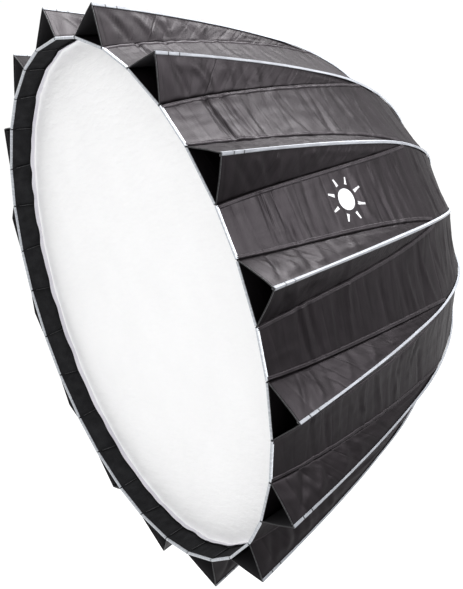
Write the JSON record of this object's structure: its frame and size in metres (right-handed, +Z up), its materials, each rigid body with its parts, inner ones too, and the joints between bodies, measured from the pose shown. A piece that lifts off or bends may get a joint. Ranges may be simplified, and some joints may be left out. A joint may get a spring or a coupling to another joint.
{
  "type": "deep parabolic softbox",
  "caption": "Deep folding softbox: a black cloth dome on bowed spring ribs, with a recessed white front diffuser, an inner baffle and a turning bayonet ring for a studio flash head.",
  "frame": {"origin": "centre of the bayonet plate's rear face, where the lamp's front seats, on the dome's axis", "axes": "-Y along the dome's axis towards its mouth, +Z up through the first rib, +X to the right seen from the front"},
  "size_m": [1.01, 0.6021, 1.01],
  "materials": {
    "shell_cloth": "satin black nylon outside, with a silver lining",
    "rib_steel": "drawn spring steel",
    "hub_paint": "cast aluminium with a satin black powder coat",
    "bright_steel": "turned and polished steel",
    "nylon": "natural nylon",
    "knob_plastic": "fine-grained moulded plastic",
    "white_cloth": "matt white diffusing cloth",
    "hem_web": "woven polyester webbing",
    "trim_tape": "pale reflective grosgrain tape"
  },
  "bodies": {
    "mount": {"bayonet_plate": "hub_paint"},
    "speed_ring": {"rod_ring": "hub_paint", "glide_ring": "nylon", "clamp_plate": "hub_paint", "plate_screws": "bright_steel", "hinge_pins": "bright_steel", "rear_collar": "hem_web", "front_diffuser": "white_cloth", "inner_baffle": "white_cloth"},
    "lock_stud": {"lock_stud": "bright_steel"},
    "lock_knob": {"lock_knob": "knob_plastic"},
    "rib_01": {"rod_01": "rib_steel", "fin_01": "shell_cloth", "panel_01": "shell_cloth"},
    "rib_02": {"rod_02": "rib_steel", "fin_02": "shell_cloth", "panel_02": "shell_cloth"},
    "rib_03": {"rod_03": "rib_steel", "fin_03": "shell_cloth", "panel_03": "shell_cloth"},
    "rib_04": {"rod_04": "rib_steel", "fin_04": "shell_cloth", "panel_04": "shell_cloth"},
    "rib_05": {"rod_05": "rib_steel", "fin_05": "shell_cloth", "panel_05": "shell_cloth"},
    "rib_06": {"rod_06": "rib_steel", "fin_06": "shell_cloth", "panel_06": "shell_cloth"},
    "rib_07": {"rod_07": "rib_steel", "fin_07": "shell_cloth", "panel_07": "shell_cloth"},
    "rib_08": {"rod_08": "rib_steel", "fin_08": "shell_cloth", "panel_08": "shell_cloth"},
    "rib_09": {"rod_09": "rib_steel", "fin_09": "shell_cloth", "panel_09": "shell_cloth"},
    "rib_10": {"rod_10": "rib_steel", "fin_10": "shell_cloth", "panel_10": "shell_cloth"},
    "rib_11": {"rod_11": "rib_steel", "fin_11": "shell_cloth", "panel_11": "shell_cloth"},
    "rib_12": {"rod_12": "rib_steel", "fin_12": "shell_cloth", "panel_12": "shell_cloth"},
    "rib_13": {"rod_13": "rib_steel", "fin_13": "shell_cloth", "panel_13": "shell_cloth"},
    "rib_14": {"rod_14": "rib_steel", "fin_14": "shell_cloth", "panel_14": "shell_cloth"},
    "rib_15": {"rod_15": "rib_steel", "fin_15": "shell_cloth", "panel_15": "shell_cloth"},
    "rib_16": {"rod_16": "rib_steel", "fin_16": "shell_cloth", "panel_16": "shell_cloth"}
  },
  "joints": [
    {"name": "ring_turn", "type": "hinge", "parent": "mount", "child": "speed_ring", "pos_m": [0, 0, 0], "axis": [0, -1, 0], "continuous": true},
    {"name": "knob_turn", "type": "hinge", "parent": "lock_stud", "child": "lock_knob", "pos_m": [0.01951, -0.0055, -0.09808], "axis": [0.1951, 0, -0.9808], "range_deg": [0, 1080]},
    {"name": "stud_travel", "type": "slide", "parent": "speed_ring", "child": "lock_stud", "axis": [0.1951, 0, -0.9808], "range_m": [0, 0.0022]},
    {"name": "rib_01_fold", "type": "hinge", "parent": "speed_ring", "child": "rib_01", "pos_m": [0, -0.016, 0.088], "axis": [1, 0, 0], "range_deg": [0, 34], "deforming": ["fin_01", "panel_01", "front_diffuser", "inner_baffle"]},
    {"name": "rib_02_fold", "type": "hinge", "parent": "speed_ring", "child": "rib_02", "pos_m": [0.03368, -0.016, 0.0813], "axis": [0.9239, 0, -0.3827], "range_deg": [0, 34], "deforming": ["fin_02", "panel_02"]},
    {"name": "rib_03_fold", "type": "hinge", "parent": "speed_ring", "child": "rib_03", "pos_m": [0.06223, -0.016, 0.06223], "axis": [0.7071, 0, -0.7071], "range_deg": [0, 34], "deforming": ["fin_03", "panel_03"]},
    {"name": "rib_04_fold", "type": "hinge", "parent": "speed_ring", "child": "rib_04", "pos_m": [0.0813, -0.016, 0.03368], "axis": [0.3827, 0, -0.9239], "range_deg": [0, 34], "deforming": ["fin_04", "panel_04"]},
    {"name": "rib_05_fold", "type": "hinge", "parent": "speed_ring", "child": "rib_05", "pos_m": [0.088, -0.016, 0], "axis": [0, 0, -1], "range_deg": [0, 34], "deforming": ["fin_05", "panel_05"]},
    {"name": "rib_06_fold", "type": "hinge", "parent": "speed_ring", "child": "rib_06", "pos_m": [0.0813, -0.016, -0.03368], "axis": [-0.3827, 0, -0.9239], "range_deg": [0, 34], "deforming": ["fin_06", "panel_06"]},
    {"name": "rib_07_fold", "type": "hinge", "parent": "speed_ring", "child": "rib_07", "pos_m": [0.06223, -0.016, -0.06223], "axis": [-0.7071, 0, -0.7071], "range_deg": [0, 34], "deforming": ["fin_07", "panel_07"]},
    {"name": "rib_08_fold", "type": "hinge", "parent": "speed_ring", "child": "rib_08", "pos_m": [0.03368, -0.016, -0.0813], "axis": [-0.9239, 0, -0.3827], "range_deg": [0, 34], "deforming": ["fin_08", "panel_08"]},
    {"name": "rib_09_fold", "type": "hinge", "parent": "speed_ring", "child": "rib_09", "pos_m": [0, -0.016, -0.088], "axis": [-1, 0, 0], "range_deg": [0, 34], "deforming": ["fin_09", "panel_09"]},
    {"name": "rib_10_fold", "type": "hinge", "parent": "speed_ring", "child": "rib_10", "pos_m": [-0.03368, -0.016, -0.0813], "axis": [-0.9239, 0, 0.3827], "range_deg": [0, 34], "deforming": ["fin_10", "panel_10"]},
    {"name": "rib_11_fold", "type": "hinge", "parent": "speed_ring", "child": "rib_11", "pos_m": [-0.06223, -0.016, -0.06223], "axis": [-0.7071, 0, 0.7071], "range_deg": [0, 34], "deforming": ["fin_11", "panel_11"]},
    {"name": "rib_12_fold", "type": "hinge", "parent": "speed_ring", "child": "rib_12", "pos_m": [-0.0813, -0.016, -0.03368], "axis": [-0.3827, 0, 0.9239], "range_deg": [0, 34], "deforming": ["fin_12", "panel_12"]},
    {"name": "rib_13_fold", "type": "hinge", "parent": "speed_ring", "child": "rib_13", "pos_m": [-0.088, -0.016, 0], "axis": [0, 0, 1], "range_deg": [0, 34], "deforming": ["fin_13", "panel_13"]},
    {"name": "rib_14_fold", "type": "hinge", "parent": "speed_ring", "child": "rib_14", "pos_m": [-0.0813, -0.016, 0.03368], "axis": [0.3827, 0, 0.9239], "range_deg": [0, 34], "deforming": ["fin_14", "panel_14"]},
    {"name": "rib_15_fold", "type": "hinge", "parent": "speed_ring", "child": "rib_15", "pos_m": [-0.06223, -0.016, 0.06223], "axis": [0.7071, 0, 0.7071], "range_deg": [0, 34], "deforming": ["fin_15", "panel_15"]},
    {"name": "rib_16_fold", "type": "hinge", "parent": "speed_ring", "child": "rib_16", "pos_m": [-0.03368, -0.016, 0.0813], "axis": [0.9239, 0, 0.3827], "range_deg": [0, 34], "deforming": ["fin_16", "panel_16"]}
  ],
  "couplings": [
    {"joint": "rib_02_fold", "follows": "rib_01_fold", "ratio": 1},
    {"joint": "rib_03_fold", "follows": "rib_01_fold", "ratio": 1},
    {"joint": "rib_04_fold", "follows": "rib_01_fold", "ratio": 1},
    {"joint": "rib_05_fold", "follows": "rib_01_fold", "ratio": 1},
    {"joint": "rib_06_fold", "follows": "rib_01_fold", "ratio": 1},
    {"joint": "rib_07_fold", "follows": "rib_01_fold", "ratio": 1},
    {"joint": "rib_08_fold", "follows": "rib_01_fold", "ratio": 1},
    {"joint": "rib_09_fold", "follows": "rib_01_fold", "ratio": 1},
    {"joint": "rib_10_fold", "follows": "rib_01_fold", "ratio": 1},
    {"joint": "rib_11_fold", "follows": "rib_01_fold", "ratio": 1},
    {"joint": "rib_12_fold", "follows": "rib_01_fold", "ratio": 1},
    {"joint": "rib_13_fold", "follows": "rib_01_fold", "ratio": 1},
    {"joint": "rib_14_fold", "follows": "rib_01_fold", "ratio": 1},
    {"joint": "rib_15_fold", "follows": "rib_01_fold", "ratio": 1},
    {"joint": "rib_16_fold", "follows": "rib_01_fold", "ratio": 1},
    {"joint": "stud_travel", "follows": "knob_turn", "m_per_rad": 0.00011141}
  ]
}
